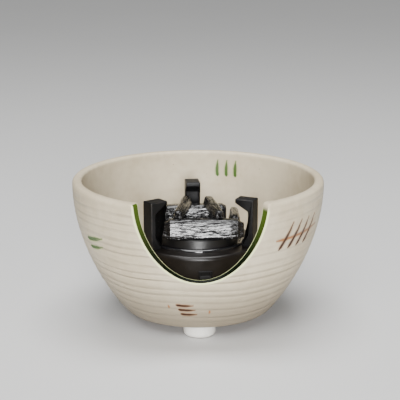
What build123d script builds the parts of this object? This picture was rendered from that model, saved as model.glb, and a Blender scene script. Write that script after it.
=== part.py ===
from build123d import *
import os
from math import cos, radians, sin, tan

os.makedirs("parts", exist_ok=True)

# A furo is an open stoneware fire bowl on three round feet, with a fire window cut down from its
# rim. This one holds a drum-shaped electric charcoal unit with three iron claws for a kettle.
# The bowl's axis is Z, its feet stand on Z = 0 and its window faces -Y. Sizes are in millimetres.

# Fire bowl
rim_height = 157.2
rim_radius = 135.5
rim_band = 5.8
base_radius = 80.0
wall_thickness = 10.3
floor_thickness = 11.0
floor_radius = 72.0
rim_outer_round = 4.6
rim_inner_round = 3.4
belly_power = 1.9
belly_fill = 0.92
outer_shares = (0.0, 0.06, 0.16, 0.32, 0.52, 0.75, 1.0)
inner_shares = (0.14, 0.26, 0.42, 0.62, 0.82, 1.0)

# Fire window: an upright U whose edges point at the bowl's axis
window_half_angle = 29.8
window_bottom = 75.0
window_flare = 2.2
window_power = 1.15
window_steps = 5
window_cut_margin = 15.0

# Feet of the bowl
foot_height = 13.4
foot_radius = 17.2
foot_circle = 61.8
foot_round = 3.2

# Drum of the electric charcoal unit
drum_radius = 68.0
drum_base_radius = 65.0
drum_height = 56.0
drum_edge_round = 4.0
sheet_thickness = 1.2
rubber_foot_radius = 7.0
rubber_foot_height = 4.0
rubber_foot_circle = 54.0
rubber_foot_edge = 0.8
base_plate_thickness = 2.0

# Dish in the drum's top, and the fired-clay bed in the dish
dish_radius = 48.0
dish_lip_width = 3.4
dish_lip_height = 2.4
dish_depth = 3.4
dish_taper = 2.6
bed_radius = 43.6
bed_height = 12.6
bed_taper = 2.0
bed_edge = 1.4
recess_radius = 27.0
recess_depth = 8.0

# Deck inside the drum that carries the insulation and the dish
insulation_thickness = 8.0
insulation_radius = 42.0
deck_thickness = 2.0
deck_radius = 58.0
pillar_radius = 4.0
pillar_circle = 46.0
pillar_start_angle = 60.0

# Sheathed heating element
element_ring_radius = 19.0
element_tube_radius = 3.25
element_leg_angle = 31.0
element_bend_radius = 4.5
leg_clearance = 0.5

# Iron claws, and how far their ring and the switch are turned from the window's middle
claw_width = 16.0
claw_height = 52.0
claw_outer_radius = 66.8
claw_inner_radius = 60.8
claw_seat_radius = 46.0
claw_foot_inner = 54.0
claw_foot_outer = 63.6
claw_foot_rise = 6.0
claw_toe_height = 7.0
claw_nose_depth = 4.5
claw_nose_rise = 13.0
claw_corner_round = 1.4
claw_screw_length = 6.0
heater_turn = 5.2
claw_azimuths = {
    "trivet_left": heater_turn - 60,
    "trivet_right": heater_turn + 60,
    "trivet_back": heater_turn + 180,
}

# Imitation charcoal
log_width = 20.0
log_height = 21.0
front_log_gap_left = 2.6
front_log_gap_right = 3.8
back_log_length = 70.0
back_log_shift = -3.0
cross_log_distance = 31.0
side_log_width = 14.0
side_log_height = 21.0
side_log_distance = 40.0
log_gap = 0.8
top_stick_width = 13.0
top_stick_height = 9.5
top_stick_length = 66.0
top_stick_distance = 17.0
top_stick_turn = 9.0
log_end_share = 0.86

# Rocker switch, low at the drum's front
switch_height = 37.7
bezel_width = 15.0
bezel_height = 10.5
bezel_thickness = 1.5
bezel_round = 1.0
bezel_edge = 0.4
opening_width = 11.4
opening_height = 7.4
sleeve_wall = 0.8
sleeve_depth = 9.0
rocker_side_clearance = 0.2
rocker_end_clearance = 0.15
rocker_valley = 1.0
rocker_tilt = 11.0
rocker_back = 2.4
rocker_pivot_depth = 0.3
rocker_pin_radius = 0.8
rocker_pin_reach = 0.6
switch_body_depth = 10.0
tab_width = 4.8
tab_thickness = 0.8
tab_length = 6.0
tab_spacing = 7.0

# Cord inlet at the drum's rear
inlet_height = 16.0
inlet_sleeve_radius = 6.0
inlet_bore_radius = 3.6
inlet_flange_radius = 8.5
inlet_flange_thickness = 2.0
inlet_flange_round = 0.8
inlet_inner_lip = 1.4
inlet_inner_gap = 1.0

# Wiring and small parts
terminal_length = 32.0
terminal_depth = 15.0
terminal_height = 13.0
terminal_round = 2.0
terminal_bore_depth = 9.0
cutout_radius = 8.0
cutout_thickness = 7.0
cutout_place = (-26.0, -12.0)
lead_radius = 1.2
lead_bend = 6.0
lead_reach = 14.0
lead_drop = 16.0
lead_offset = 6.0
lead_run = 30.0
lead_inlet_reach = 22.0
screw_radius = 2.0
screw_head_radius = 3.6
screw_head_height = 2.4
screw_head_edge = 0.6
screw_length = 9.0
fit_gap = 0.1
seat_gap = 0.3

# Heights that follow from the sizes above
widest_height = rim_height - rim_band
floor_top = foot_height + floor_thickness
plate_low = floor_top + rubber_foot_height
drum_low = plate_low + base_plate_thickness
drum_top = drum_low + drum_height
dish_low = drum_top - dish_depth
dish_floor = dish_low + sheet_thickness
bed_top = dish_floor + bed_height
recess_floor = bed_top - recess_depth
insulation_low = dish_low - insulation_thickness
deck_low = insulation_low - deck_thickness
toe_top = drum_top + claw_toe_height
claw_top = drum_top + claw_height
switch_level = plate_low + switch_height
inlet_level = plate_low + inlet_height
ring_level = recess_floor + seat_gap + element_tube_radius


def outer_point(share):
    """A point on the bowl's outer side, a share of the way from its underside to its widest height."""
    height = foot_height + share * (widest_height - foot_height)
    growth = (1 - (1 - share) ** belly_power) ** belly_fill
    return Vector(base_radius + (rim_radius - base_radius) * growth, height)


def inner_point(share):
    """The point one wall thickness in from the bowl's outer side, square to it."""
    here = outer_point(share)
    along = (here - outer_point(share - 0.002)).normalized()
    return here + Vector(-along.Y, along.X) * wall_thickness


def window_outline(distance):
    """Points of the fire window's U on an upright plane at a distance from the bowl's axis."""
    half_width = distance * tan(radians(window_half_angle))
    open_top = rim_height + window_flare
    fall = open_top - window_bottom
    points = []
    for step in range(-window_steps, window_steps + 1):
        angle = radians(90 * step / window_steps)
        rise = max(cos(angle), 0.0) ** window_power
        points.append((half_width * sin(angle), open_top - fall * rise))
    return points


def radial(azimuth):
    """An upright plane through the axis, with its X pointing out from the axis and its Y up."""
    angle = radians(azimuth)
    return Plane(
        origin=(0, 0, 0),
        x_dir=(sin(angle), -cos(angle), 0),
        z_dir=(-cos(angle), -sin(angle), 0),
    )


def drum_side(height):
    """The drum's outer radius at a height."""
    share = (height - drum_low) / drum_height
    return drum_base_radius + share * (drum_radius - drum_base_radius)


def drum_face(azimuth, height):
    """A plane that touches the drum's tapered side, with its X to the right of someone facing it."""
    angle = radians(azimuth)
    outward = Vector(sin(angle), -cos(angle), 0)
    taper = (drum_radius - drum_base_radius) / drum_height
    return Plane(
        origin=outward * drum_side(height) + Vector(0, 0, height),
        x_dir=(cos(angle), sin(angle), 0),
        z_dir=outward - Vector(0, 0, taper),
    )


def save(part, label):
    """Name a finished piece and write it."""
    part.label = label
    export_step(part, f"parts/{label}.step")


# Fire bowl: thrown wall, flat floor and rounded rim, turned about the axis
with BuildPart() as fire_bowl:
    with BuildSketch(Plane.XZ) as bowl_section:
        with BuildLine():
            side = Spline(*[outer_point(share) for share in outer_shares])
            inside = Spline(
                (floor_radius, floor_top),
                *[inner_point(share) for share in inner_shares],
                tangents=((1, 0.25), (0, 1)),
            )
            inner_rim = (rim_radius - wall_thickness, rim_height)
            Polyline(side @ 1, (rim_radius, rim_height), inner_rim, inside @ 1)
            Polyline(inside @ 0, (0, floor_top), (0, foot_height), side @ 0)
        make_face()
        rim_corners = bowl_section.vertices().group_by(Axis.Y)[-1].sort_by(Axis.X)
        fillet(rim_corners[-1], min(rim_outer_round, 0.45 * wall_thickness))
        rim_corners = bowl_section.vertices().group_by(Axis.Y)[-1].sort_by(Axis.X)
        fillet(rim_corners[0], min(rim_inner_round, 0.4 * wall_thickness))
    revolve(axis=Axis.Z)
    for distance in (rim_radius + window_cut_margin, 0.5 * (rim_radius + drum_radius) - window_cut_margin):
        with BuildSketch(Plane.XZ.offset(distance)):
            with BuildLine():
                edge = Spline(*window_outline(distance))
                top = rim_height + window_cut_margin
                Polyline(edge @ 0, ((edge @ 0).X, top), ((edge @ 1).X, top), edge @ 1)
            make_face()
    loft(ruled=True, mode=Mode.SUBTRACT)
save(fire_bowl.part, "fire_bowl")

# Feet: three round lumps of clay under the flat of the base
for foot_name, azimuth in (("foot_front", 0), ("foot_left", -120), ("foot_right", 120)):
    angle = radians(azimuth)
    with BuildPart() as foot:
        with BuildSketch():
            with Locations((foot_circle * sin(angle), -foot_circle * cos(angle))):
                Circle(foot_radius)
        extrude(amount=foot_height)
        fillet(foot.edges().group_by(Axis.Z)[0], foot_round)
    save(foot.part, foot_name)

# Where the screws of the claws stand, seen from above
claw_hole_circle = 0.5 * (claw_foot_inner + claw_foot_outer)
claw_screw_places = {
    name: (claw_hole_circle * sin(radians(azimuth)), -claw_hole_circle * cos(radians(azimuth)))
    for name, azimuth in claw_azimuths.items()
}

# Drum: tapered sheet-steel side with a rolled shoulder and a flat ledge round the dish
ledge_radius = dish_radius + seat_gap
with BuildPart() as heater_drum:
    with BuildSketch(Plane.XZ):
        with BuildLine():
            skin = FilletPolyline(
                (drum_base_radius, drum_low),
                (drum_radius, drum_top),
                (ledge_radius, drum_top),
                radius=drum_edge_round,
            )
            lining = FilletPolyline(
                (ledge_radius, drum_top - sheet_thickness),
                (drum_radius - sheet_thickness, drum_top - sheet_thickness),
                (drum_base_radius - sheet_thickness, drum_low),
                radius=drum_edge_round - sheet_thickness,
            )
            Line(skin @ 1, lining @ 0)
            Line(lining @ 1, skin @ 0)
        make_face()
    revolve(axis=Axis.Z)
    switch_face = drum_face(heater_turn, switch_level)
    with BuildSketch(switch_face.offset(sleeve_depth / 2)):
        Rectangle(
            opening_width + 2 * sleeve_wall + 2 * fit_gap,
            opening_height + 2 * sleeve_wall + 2 * fit_gap,
        )
    extrude(amount=-sleeve_depth, mode=Mode.SUBTRACT)
    inlet_face = drum_face(180, inlet_level)
    with BuildSketch(inlet_face.offset(sleeve_depth / 2)):
        Circle(inlet_sleeve_radius + fit_gap)
    extrude(amount=-sleeve_depth, mode=Mode.SUBTRACT)
    with BuildSketch(Plane.XY.offset(drum_top)):
        with Locations(*claw_screw_places.values()):
            Circle(screw_radius + fit_gap)
    extrude(amount=-sheet_thickness, mode=Mode.SUBTRACT)
save(heater_drum.part, "heater_drum")

# Base plate: floor of the drum, with holes for the pillar screws
with BuildPart() as base_plate:
    with BuildSketch(Plane.XY.offset(plate_low)):
        Circle(drum_base_radius)
        with PolarLocations(pillar_circle, 3, start_angle=pillar_start_angle):
            Circle(screw_radius + fit_gap, mode=Mode.SUBTRACT)
    extrude(amount=base_plate_thickness)
save(base_plate.part, "base_plate")

# Rubber feet of the drum
with BuildPart() as base_feet:
    with BuildSketch(Plane.XY.offset(floor_top)):
        with PolarLocations(rubber_foot_circle, 4, start_angle=45):
            Circle(rubber_foot_radius)
    extrude(amount=rubber_foot_height)
    chamfer(base_feet.edges().group_by(Axis.Z)[0], rubber_foot_edge)
save(base_feet.part, "base_feet")

# Pillars that stand on the base plate and carry the deck
with BuildPart() as deck_pillars:
    with BuildSketch(Plane.XY.offset(drum_low)):
        with PolarLocations(pillar_circle, 3, start_angle=pillar_start_angle):
            Circle(pillar_radius)
    extrude(amount=deck_low - drum_low)
    with BuildSketch(Plane.XY.offset(drum_low)):
        with PolarLocations(pillar_circle, 3, start_angle=pillar_start_angle):
            Circle(screw_radius + fit_gap)
    extrude(amount=screw_length, mode=Mode.SUBTRACT)
save(deck_pillars.part, "deck_pillars")

# Screws that pull the pillars down on the base plate
with BuildPart() as base_screws:
    with BuildSketch(Plane.XY.offset(plate_low - screw_head_height)):
        with PolarLocations(pillar_circle, 3, start_angle=pillar_start_angle):
            Circle(screw_head_radius)
    extrude(amount=screw_head_height)
    chamfer(base_screws.edges().group_by(Axis.Z)[0], screw_head_edge)
    with BuildSketch(Plane.XY.offset(plate_low)):
        with PolarLocations(pillar_circle, 3, start_angle=pillar_start_angle):
            Circle(screw_radius)
    extrude(amount=screw_length)
save(base_screws.part, "base_screws")

# Legs of the heating element pass down through the bed, the dish, the insulation and the deck
leg_angle = radians(90 + element_leg_angle)
leg_x = -element_ring_radius * cos(leg_angle) - element_bend_radius * sin(leg_angle)
leg_y = element_ring_radius * sin(leg_angle) - element_bend_radius * cos(leg_angle)
leg_places = ((-leg_x, leg_y), (leg_x, leg_y))

with BuildPart() as deck_plate:
    with BuildSketch(Plane.XY.offset(deck_low)):
        Circle(deck_radius)
        with Locations(*leg_places):
            Circle(element_tube_radius + leg_clearance, mode=Mode.SUBTRACT)
    extrude(amount=deck_thickness)
save(deck_plate.part, "deck_plate")

with BuildPart() as insulation_disc:
    with BuildSketch(Plane.XY.offset(insulation_low)):
        Circle(insulation_radius)
        with Locations(*leg_places):
            Circle(element_tube_radius + leg_clearance, mode=Mode.SUBTRACT)
    extrude(amount=insulation_thickness)
save(insulation_disc.part, "insulation_disc")

# Dish with a raised lip that rests on the drum's ledge
with BuildPart() as heat_dish:
    with BuildSketch(Plane.XZ):
        with BuildLine():
            lip_outer = dish_radius + dish_lip_width
            lip_top = drum_top + dish_lip_height
            hem = ThreePointArc(
                (lip_outer, drum_top),
                (dish_radius + 0.5 * dish_lip_width, lip_top),
                (dish_radius - sheet_thickness, drum_top),
            )
            Polyline(
                hem @ 1,
                (dish_radius - sheet_thickness - dish_taper, dish_floor),
                (0, dish_floor),
                (0, dish_low),
                (dish_radius - dish_taper, dish_low),
                (dish_radius, drum_top),
                hem @ 0,
            )
        make_face()
    revolve(axis=Axis.Z)
    with BuildSketch(Plane.XY.offset(dish_floor)):
        with Locations(*leg_places):
            Circle(element_tube_radius + leg_clearance)
    extrude(amount=-sheet_thickness, mode=Mode.SUBTRACT)
save(heat_dish.part, "heat_dish")

# Fired-clay bed with a round recess for the element and a tapered skirt
with BuildPart() as charcoal_bed:
    with BuildSketch(Plane.XZ):
        with BuildLine():
            bed_top_radius = bed_radius - bed_taper
            Polyline(
                (0, dish_floor),
                (bed_radius, dish_floor),
                (bed_top_radius, bed_top - bed_edge),
                (bed_top_radius - bed_edge, bed_top),
                (0, bed_top),
                close=True,
            )
        make_face()
    revolve(axis=Axis.Z)
    with BuildSketch(Plane.XY.offset(bed_top)):
        Circle(recess_radius)
    extrude(amount=-recess_depth, mode=Mode.SUBTRACT)
    with BuildSketch(Plane.XY.offset(recess_floor)):
        with Locations(*leg_places):
            Circle(element_tube_radius + leg_clearance)
    extrude(amount=-bed_height, mode=Mode.SUBTRACT)
save(charcoal_bed.part, "charcoal_bed")

# Heating element: one sheathed tube, bent down at both ends of a nearly full ring
leg_foot = deck_low - terminal_bore_depth
with BuildPart() as heating_element:
    with BuildLine() as element_line:
        ring_start, ring_sweep = 90 + element_leg_angle, 360 - 2 * element_leg_angle
        ring = CenterArc((0, 0, ring_level), element_ring_radius, ring_start, ring_sweep)
        for end, way in ((ring @ 0, ring % 0 * -1), (ring @ 1, ring % 1)):
            elbow = end + way * element_bend_radius - Vector(0, 0, element_bend_radius)
            TangentArc(end, elbow, tangent=way)
            Line(elbow, (elbow.X, elbow.Y, leg_foot))
    start = element_line.wires()[0] @ 0
    with BuildSketch(Plane(origin=start, z_dir=(0, 0, 1))):
        Circle(element_tube_radius)
    sweep(path=element_line.wires()[0])
save(heating_element.part, "heating_element")

# Porcelain terminal block under the deck, bored for the element's legs
with BuildPart() as terminal_block:
    with BuildSketch(Plane.XY.offset(deck_low)):
        with Locations((0, leg_y)):
            RectangleRounded(terminal_length, terminal_depth, terminal_round)
    extrude(amount=-terminal_height)
    with BuildSketch(Plane.XY.offset(deck_low)):
        with Locations(*leg_places):
            Circle(element_tube_radius + fit_gap)
    extrude(amount=-terminal_bore_depth, mode=Mode.SUBTRACT)
save(terminal_block.part, "terminal_block")

# Thermal cut-out clipped flat against the deck
with BuildPart() as thermal_cutout:
    with BuildSketch(Plane.XY.offset(deck_low)):
        with Locations(cutout_place):
            Circle(cutout_radius)
    extrude(amount=-cutout_thickness)
    with BuildSketch(Plane.XY.offset(deck_low - cutout_thickness)):
        with Locations(cutout_place):
            with GridLocations(0.9 * cutout_radius, 0, 2, 1):
                Rectangle(tab_thickness, tab_width)
    extrude(amount=-tab_length)
save(thermal_cutout.part, "thermal_cutout")

# Iron claws: each stands on the ledge by a toe and carries a flat-topped nose that reaches inwards
for claw_name, azimuth in claw_azimuths.items():
    middle = radial(azimuth)
    with BuildPart() as claw:
        with BuildSketch(middle):
            with BuildLine():
                Polyline(
                    (claw_foot_inner, drum_top),
                    (claw_foot_outer, drum_top),
                    (claw_outer_radius, drum_top + claw_foot_rise),
                    (claw_outer_radius, claw_top),
                    (claw_seat_radius, claw_top),
                    (claw_seat_radius, claw_top - claw_nose_depth),
                    (claw_inner_radius, claw_top - claw_nose_rise),
                    (claw_inner_radius, toe_top + claw_inner_radius - claw_foot_inner),
                    (claw_foot_inner, toe_top),
                    close=True,
                )
            make_face()
        extrude(amount=claw_width / 2, both=True)
        cross_edges = [
            edge
            for edge in claw.edges()
            if abs(middle.to_local_coords(edge.center()).Z) < fit_gap
            and edge.center().Z > drum_top + fit_gap
        ]
        fillet(cross_edges, claw_corner_round)
        with BuildSketch(Plane.XY.offset(drum_top)):
            with Locations(claw_screw_places[claw_name]):
                Circle(screw_radius + fit_gap)
        extrude(amount=claw_screw_length, mode=Mode.SUBTRACT)
    save(claw.part, claw_name)

# Screws from under the ledge into the claws
with BuildPart() as trivet_screws:
    with BuildSketch(Plane.XY.offset(drum_top - sheet_thickness - screw_head_height)):
        with Locations(*claw_screw_places.values()):
            Circle(screw_head_radius)
    extrude(amount=screw_head_height)
    with BuildSketch(Plane.XY.offset(drum_top - sheet_thickness)):
        with Locations(*claw_screw_places.values()):
            Circle(screw_radius)
    extrude(amount=claw_screw_length)
save(trivet_screws.part, "trivet_screws")

# Outline of a piece of charcoal, as shares of its width and height from its centre
bark_corners = (
    (-0.50, -0.30),
    (-0.34, -0.50),
    (0.34, -0.50),
    (0.50, -0.26),
    (0.47, 0.22),
    (0.28, 0.50),
    (-0.30, 0.50),
    (-0.49, 0.18),
)


def make_log(label, start, end, width, height):
    """A piece of charcoal from start to end: its sides swell in the middle, its top and bottom are level."""
    way = Vector(*end) - Vector(*start)
    with BuildPart() as log:
        for share, swell in ((0.0, log_end_share), (0.22, 1.0), (0.7, 0.96), (1.0, log_end_share)):
            place = Vector(*start) + way * share
            across = way.cross(Vector(0, 0, 1))
            with BuildSketch(Plane(origin=place, x_dir=across, z_dir=way)):
                with BuildLine():
                    corners = [(x * width * swell, y * height) for x, y in bark_corners]
                    Polyline(*corners, close=True)
                make_face()
        loft(ruled=True)
    save(log.part, label)


def claw_corner(name, side):
    """How far along X the upright edge on a side of a claw's inner face stands."""
    angle = radians(claw_azimuths[name])
    return claw_inner_radius * sin(angle) + side * claw_width / 2 * cos(angle)


log_level = bed_top + log_height / 2
half_back = back_log_length / 2
make_log(
    "charcoal_front",
    (claw_corner("trivet_left", 1) + front_log_gap_left, -cross_log_distance, log_level),
    (claw_corner("trivet_right", -1) - front_log_gap_right, -cross_log_distance, log_level),
    log_width,
    log_height,
)
make_log(
    "charcoal_back",
    (back_log_shift + half_back, cross_log_distance, log_level),
    (back_log_shift - half_back, cross_log_distance, log_level),
    log_width,
    log_height,
)
between_logs = cross_log_distance - log_width / 2 - log_gap
for side_name, side in (("left", -1), ("right", 1)):
    side_level = bed_top + side_log_height / 2
    make_log(
        f"charcoal_{side_name}",
        (side * side_log_distance, between_logs, side_level),
        (side * side_log_distance, -between_logs, side_level),
        side_log_width,
        side_log_height,
    )
    stick_level = bed_top + log_height + top_stick_height / 2
    lean = side * tan(radians(top_stick_turn)) * top_stick_length / 2
    make_log(
        f"charcoal_top_{side_name}",
        (side * top_stick_distance - lean, top_stick_length / 2, stick_level),
        (side * top_stick_distance + lean, -top_stick_length / 2, stick_level),
        top_stick_width,
        top_stick_height,
    )

# Switch bezel: flange on the drum's side, sleeve through its wall and holes for the rocker's pins
pivot_point = switch_face.from_local_coords(Vector(0, 0, -rocker_pivot_depth))
pivot_axis = switch_face.x_dir
with BuildPart() as switch_bezel:
    with BuildSketch(switch_face.offset(fit_gap)):
        RectangleRounded(bezel_width, bezel_height, bezel_round)
    extrude(amount=bezel_thickness)
    chamfer(switch_bezel.faces().sort_by(Axis(switch_face.origin, switch_face.z_dir))[-1].edges(), bezel_edge)
    with BuildSketch(switch_face.offset(fit_gap)):
        Rectangle(opening_width + 2 * sleeve_wall, opening_height + 2 * sleeve_wall)
    extrude(amount=-sleeve_depth)
    with BuildSketch(switch_face.offset(fit_gap + bezel_thickness)):
        Rectangle(opening_width, opening_height)
    extrude(amount=-sleeve_depth - bezel_thickness, mode=Mode.SUBTRACT)
    with BuildSketch(Plane(origin=pivot_point, z_dir=pivot_axis)):
        Circle(rocker_pin_radius + fit_gap / 2)
    extrude(amount=bezel_width / 2 - fit_gap, both=True, mode=Mode.SUBTRACT)
save(switch_bezel.part, "switch_bezel")

# Rocker: a round-ended key with a shallow valley across its face, resting tipped to its off side
rocker_radius = opening_height / 2 - rocker_end_clearance
rocker_width = opening_width - 2 * rocker_side_clearance
rest_out = switch_face.z_dir * cos(radians(rocker_tilt)) + switch_face.y_dir * sin(radians(rocker_tilt))
rocker_plane = Plane(origin=pivot_point, x_dir=rest_out, z_dir=pivot_axis * -1)
with BuildPart() as switch_rocker:
    with BuildSketch(rocker_plane):
        Circle(rocker_radius)
        with BuildLine():
            ridge = rocker_valley + rocker_radius * tan(radians(rocker_tilt))
            Polyline(
                (rocker_valley, 0),
                (ridge, rocker_radius),
                (2 * rocker_radius, rocker_radius),
                (2 * rocker_radius, -rocker_radius),
                (ridge, -rocker_radius),
                close=True,
            )
        make_face(mode=Mode.SUBTRACT)
        with Locations((-rocker_radius - rocker_back, 0)):
            Rectangle(2 * rocker_radius, 2 * rocker_radius, mode=Mode.SUBTRACT)
    extrude(amount=rocker_width / 2, both=True)
    with BuildSketch(rocker_plane):
        Circle(rocker_pin_radius)
    extrude(amount=opening_width / 2 + rocker_pin_reach, both=True)
save(switch_rocker.part, "switch_rocker")

# Switch body behind the sleeve, with two tabs for the leads
with BuildPart() as switch_body:
    with BuildSketch(switch_face.offset(fit_gap - sleeve_depth)):
        Rectangle(opening_width + 2 * sleeve_wall, opening_height + 2 * sleeve_wall)
    extrude(amount=-switch_body_depth)
    with BuildSketch(switch_face.offset(fit_gap - sleeve_depth - switch_body_depth)):
        with GridLocations(tab_spacing, 0, 2, 1):
            Rectangle(tab_thickness, tab_width)
    extrude(amount=-tab_length)
save(switch_body.part, "switch_body")

# Cord inlet: a bush in the drum's rear with a flange on each side of the sheet
with BuildPart() as cord_inlet:
    with BuildSketch(inlet_face.offset(fit_gap)):
        Circle(inlet_flange_radius)
    extrude(amount=inlet_flange_thickness)
    fillet(cord_inlet.faces().sort_by(Axis.Y)[-1].edges(), inlet_flange_round)
    inner_flange_depth = sheet_thickness + inlet_inner_gap
    with BuildSketch(inlet_face.offset(fit_gap)):
        Circle(inlet_sleeve_radius)
    extrude(amount=-inner_flange_depth - inlet_flange_thickness)
    with BuildSketch(inlet_face.offset(fit_gap - inner_flange_depth)):
        Circle(inlet_sleeve_radius + inlet_inner_lip)
    extrude(amount=-inlet_flange_thickness)
    with BuildSketch(inlet_face.offset(2 * inlet_flange_thickness)):
        Circle(inlet_bore_radius)
    extrude(amount=-4 * inlet_flange_thickness - inner_flange_depth, mode=Mode.SUBTRACT)
save(cord_inlet.part, "cord_inlet")

# Leads: from the inlet to the switch, from the switch to the block and from the block to the inlet
tab_end = switch_face.offset(fit_gap - sleeve_depth - switch_body_depth - tab_length)
inlet_end = inlet_face.offset(fit_gap - sheet_thickness - inlet_inner_gap - inlet_flange_thickness)
block_low = deck_low - terminal_height
left_tab = tab_end.from_local_coords(Vector(-tab_spacing / 2, 0, 0))
right_tab = tab_end.from_local_coords(Vector(tab_spacing / 2, 0, 0))
inward = switch_face.z_dir * -1
lead_level = drum_low + 6 * lead_radius
left_inlet = inlet_end.origin + Vector(-2 * lead_radius, 0, 0)
right_inlet = inlet_end.origin + Vector(2 * lead_radius, 0, 0)
lead_routes = (
    (
        left_tab,
        left_tab + inward * lead_reach,
        Vector(left_tab.X - lead_offset, left_tab.Y + lead_run, lead_level),
        Vector(left_inlet.X, left_inlet.Y - lead_inlet_reach, left_inlet.Z),
        left_inlet,
    ),
    (
        right_tab,
        right_tab + inward * lead_reach,
        Vector(leg_x + lead_offset, leg_y - lead_drop, block_low - lead_reach),
        Vector(leg_x, leg_y, block_low - lead_reach),
        Vector(leg_x, leg_y, block_low),
    ),
    (
        Vector(0, leg_y, block_low),
        Vector(0, leg_y, block_low - lead_drop),
        Vector(right_inlet.X, right_inlet.Y - lead_reach, right_inlet.Z),
        right_inlet,
    ),
)
with BuildPart() as lead_wires:
    for route in lead_routes:
        with BuildLine() as lead_line:
            FilletPolyline(*route, radius=lead_bend)
        lead_start = lead_line.wires()[0]
        with BuildSketch(Plane(origin=lead_start @ 0, z_dir=lead_start % 0)):
            Circle(lead_radius)
        sweep(path=lead_start)
save(lead_wires.part, "lead_wires")

print("rocker pivot", pivot_point, "axis", pivot_axis)
print("claw top", claw_top, "drum top", drum_top, "bed top", bed_top, "floor top", floor_top)
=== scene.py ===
from math import cos, pi, radians, sin, tan

import bpy
import numpy as np
from bpy.props import FloatProperty, FloatVectorProperty, PointerProperty
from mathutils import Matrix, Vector


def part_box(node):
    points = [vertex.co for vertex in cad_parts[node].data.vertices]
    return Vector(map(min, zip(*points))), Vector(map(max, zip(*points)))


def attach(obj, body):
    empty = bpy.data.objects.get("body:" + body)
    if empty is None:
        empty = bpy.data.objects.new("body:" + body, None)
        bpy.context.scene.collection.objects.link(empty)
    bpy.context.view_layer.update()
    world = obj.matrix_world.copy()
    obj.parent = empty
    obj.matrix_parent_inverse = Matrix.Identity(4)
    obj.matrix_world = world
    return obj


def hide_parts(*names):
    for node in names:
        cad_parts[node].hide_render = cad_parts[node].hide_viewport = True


bl_info = {
    "name": "Furo Brazier",
    "version": (1, 0, 0),
    "blender": (4, 5, 0),
    "location": "3D View > Sidebar > Furo",
    "description": "Surfaces and finishes of a stoneware furo brazier with an electric charcoal unit",
    "category": "Object",
}

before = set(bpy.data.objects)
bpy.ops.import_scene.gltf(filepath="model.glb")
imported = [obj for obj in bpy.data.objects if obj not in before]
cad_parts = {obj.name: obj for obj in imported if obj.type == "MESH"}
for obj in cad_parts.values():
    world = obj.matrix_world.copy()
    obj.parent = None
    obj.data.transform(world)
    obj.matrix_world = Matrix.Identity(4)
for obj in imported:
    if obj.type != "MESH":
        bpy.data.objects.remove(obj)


def top_of(node):
    """The height of a node's top, in millimetres."""
    return round(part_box(node)[1].z * 1000, 3)


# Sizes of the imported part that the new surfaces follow, in millimetres
foot_height = top_of("foot_front")
rim_height = top_of("fire_bowl")
drum_top = top_of("heater_drum")
bed_top = top_of("charcoal_bed")
claw_top = top_of("trivet_back")
rim_radius = 135.5
widest_height = rim_height - 5.8
base_radius = 80.0
wall_thickness = 10.3
floor_radius = 72.0
floor_top = foot_height + 11.0
belly_power = 1.9
belly_fill = 0.92
floor_share = 0.14
window_half_angle = 29.8
window_bottom = 75.0
window_flare = 2.2
window_power = 1.15
foot_radius = 17.2
foot_circle = 61.8
claw_width = 16.0
heater_turn = 5.2
motif_radius = 115.0
# Height, in millimetres, below which painted shade darkens the outer wall's glaze towards the foot
belly_shade_top = 90.0
dust_colour = (0.35, 0.32, 0.28, 1.0)

# Steps of the bowl's mesh, and how its edge is rounded and its marks are cut off, in millimetres
edge_steps = 4000
bowl_columns = 452
rim_outer_round = 4.5
rim_inner_round = 3.4
far = 40.0


# Meshes

def surface(name, grid, material, body, stands_for, first_pole=None, last_pole=None, marks=None,
            flat_ends=False):
    """Put a grid of points, in millimetres, into a mesh that rides on a body.

    Rows go up and columns go round counter-clockwise, so that faces point outwards, and the last column
    joins the first. A pole is a point that closes the first or last row with a fan.
    """
    rows, columns = grid.shape[:2]
    index = np.arange(rows * columns).reshape(rows, columns)
    index = np.hstack([index, index[:, :1]])
    quads = np.stack([index[:-1, :-1], index[:-1, 1:], index[1:, 1:], index[1:, :-1]], -1)
    faces = quads.reshape(-1, 4).tolist()
    points = [grid.reshape(-1, 3)]
    for pole, row, turn in ((first_pole, index[0], 1), (last_pole, index[-1], -1)):
        if pole is not None:
            tip = np.full(len(row) - 1, sum(len(part) for part in points))
            points.append(np.asarray(pole, float).reshape(1, 3))
            faces += np.stack([tip, row[1:], row[:-1]], -1)[:, ::turn].tolist()
    if flat_ends:
        faces += [index[0, :columns][::-1].tolist(), index[-1, :columns].tolist()]
    mesh = bpy.data.meshes.new(name)
    mesh.from_pydata(np.concatenate(points) * 0.001, [], faces)
    mesh.shade_smooth()
    for mark, values in (marks or {}).items():
        values = np.asarray(values, np.float32)
        spare = len(mesh.vertices) - rows * columns
        if values.ndim == 3:
            layer = mesh.attributes.new(mark, "FLOAT_VECTOR", "POINT")
            filled = np.concatenate([values.reshape(-1, 3), np.zeros((spare, 3))])
            layer.data.foreach_set("vector", filled.astype(np.float32).ravel())
        else:
            layer = mesh.attributes.new(mark, "FLOAT", "POINT")
            ends = [row.mean() for pole, row in ((first_pole, values[0]), (last_pole, values[-1]))
                    if pole is not None]
            layer.data.foreach_set("value", np.concatenate([values.ravel(), ends]).astype(np.float32))
    mesh.materials.append(material)
    piece = bpy.data.objects.new(name, mesh)
    bpy.context.scene.collection.objects.link(piece)
    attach(piece, body)
    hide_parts(*stands_for)


def even(points, count):
    """The same line with its points a constant distance apart, and the distance of each from its start."""
    step = np.linalg.norm(np.diff(points, axis=0), axis=1)
    place = np.concatenate([[0.0], np.cumsum(step)])
    wanted = np.linspace(0.0, place[-1], count)
    return np.stack([np.interp(wanted, place, column) for column in points.T], -1), wanted


def smooth_step(value, low, high):
    """0 below low, 1 above high, and 3t^2 - 2t^3 between them, with t the share of the way."""
    share = np.clip((value - low) / (high - low), 0.0, 1.0)
    return share * share * (3 - 2 * share)


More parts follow.
